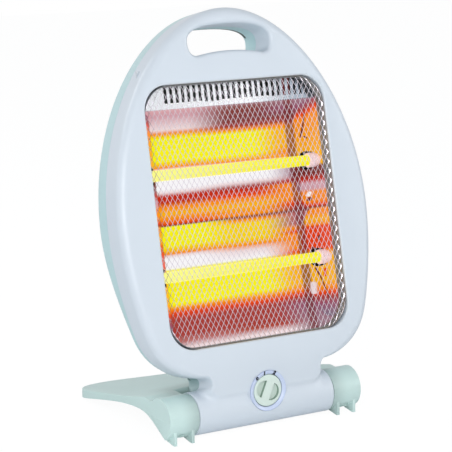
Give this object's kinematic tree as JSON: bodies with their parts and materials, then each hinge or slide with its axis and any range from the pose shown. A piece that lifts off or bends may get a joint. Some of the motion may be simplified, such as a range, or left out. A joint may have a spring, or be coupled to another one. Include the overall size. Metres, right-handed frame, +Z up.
{
  "type": "quartz heater",
  "caption": "Egg-shaped quartz tube heater leaning back on a wide foot, with slotted reflector, diamond mesh guard, carrying hole and rotary dial in its barrel.",
  "frame": {"origin": "on the floor, at the middle of the footprint: the centre of the bounding box's underside", "axes": "+Z up, -Y towards the front (the window and the dial), +X to the right as seen from the front"},
  "size_m": [0.2782, 0.204, 0.3967],
  "materials": {
    "front_plastic": "satin moulded, pale bluish white",
    "rear_plastic": "satin moulded, pale mint green",
    "foot_plastic": "satin moulded, pale mint green",
    "knob_plastic": "satin moulded, paler mint",
    "dial_plastic": "satin moulded, lavender blue, dark figures",
    "grille_chrome": "bright plated",
    "reflector_sheet": "polished, lit orange by the tubes",
    "quartz_glass": "clear to milky; glows pale yellow when hot",
    "hot_wire": "oxidised resistance wire; emissive orange when hot",
    "ceramic": "unglazed white ceramic; stands in for steatite",
    "brass": "plain",
    "zinc_steel": "zinc plated",
    "pad_rubber": "matt",
    "washer_fibre": "vulcanised fibre",
    "pale_insulator": "moulded nylon",
    "dark_insulator": "moulded",
    "blue_sleeve": "silicone sleeve",
    "brown_sleeve": "silicone sleeve"
  },
  "bodies": {
    "foot": {"foot_base": "foot_plastic", "left_cap_cover": "foot_plastic", "right_cap_cover": "foot_plastic", "left_foot_pad": "pad_rubber", "right_foot_pad": "pad_rubber", "front_left_cover_screw": "zinc_steel", "front_right_cover_screw": "zinc_steel", "rear_left_cover_screw": "zinc_steel", "rear_right_cover_screw": "zinc_steel"},
    "heater_body": {"front_shell": "front_plastic", "rear_shell": "rear_plastic", "guard_grille": "grille_chrome", "reflector": "reflector_sheet", "dial_ring": "dial_plastic", "rotary_switch": "pale_insulator", "left_end_plate": "reflector_sheet", "left_tube_holder": "zinc_steel", "left_pivot_tube": "zinc_steel", "left_friction_washer": "washer_fibre", "left_pivot_nut": "zinc_steel", "right_end_plate": "reflector_sheet", "right_tube_holder": "zinc_steel", "right_pivot_tube": "zinc_steel", "right_friction_washer": "washer_fibre", "right_pivot_nut": "zinc_steel", "upper_quartz_tube": "quartz_glass", "upper_heating_coil": "hot_wire", "upper_left_ceramic": "ceramic", "upper_left_terminal": "brass", "upper_right_ceramic": "ceramic", "upper_right_terminal": "brass", "lower_quartz_tube": "quartz_glass", "lower_heating_coil": "hot_wire", "lower_left_ceramic": "ceramic", "lower_left_terminal": "brass", "lower_right_ceramic": "ceramic", "lower_right_terminal": "brass", "top_left_shell_screw": "zinc_steel", "top_right_shell_screw": "zinc_steel", "middle_left_shell_screw": "zinc_steel", "middle_right_shell_screw": "zinc_steel", "barrel_left_shell_screw": "zinc_steel", "barrel_right_shell_screw": "zinc_steel", "top_left_reflector_screw": "zinc_steel", "top_right_reflector_screw": "zinc_steel", "bottom_left_reflector_screw": "zinc_steel", "bottom_right_reflector_screw": "zinc_steel", "terminal_block": "pale_insulator", "tip_switch_frame": "zinc_steel", "tip_micro_switch": "dark_insulator", "thermal_cutout": "dark_insulator", "cord_gland": "dark_insulator", "element_link_wire": "blue_sleeve", "neutral_wire": "blue_sleeve", "upper_live_wire": "brown_sleeve", "lower_live_wire": "brown_sleeve", "cutout_wire": "brown_sleeve"},
    "knob": {"knob": "knob_plastic", "switch_shaft": "brass"},
    "tip_weight": {"tip_weight": "brass"}
  },
  "joints": [
    {"name": "body_tilt", "type": "hinge", "parent": "foot", "child": "heater_body", "pos_m": [0, -0.08101, 0.0222], "axis": [1, 0, 0], "range_deg": [-20, 12.9]},
    {"name": "knob_turn", "type": "hinge", "parent": "heater_body", "child": "knob", "pos_m": [0, -0.10028, 0.03841], "axis": [0, -0.9995, 0.0332], "range_deg": [0, 65]},
    {"name": "tip_weight_swing", "type": "hinge", "parent": "heater_body", "child": "tip_weight", "pos_m": [0.033, -0.07447, 0.05969], "axis": [1, 0, 0], "range_deg": [-35, 18]}
  ]
}
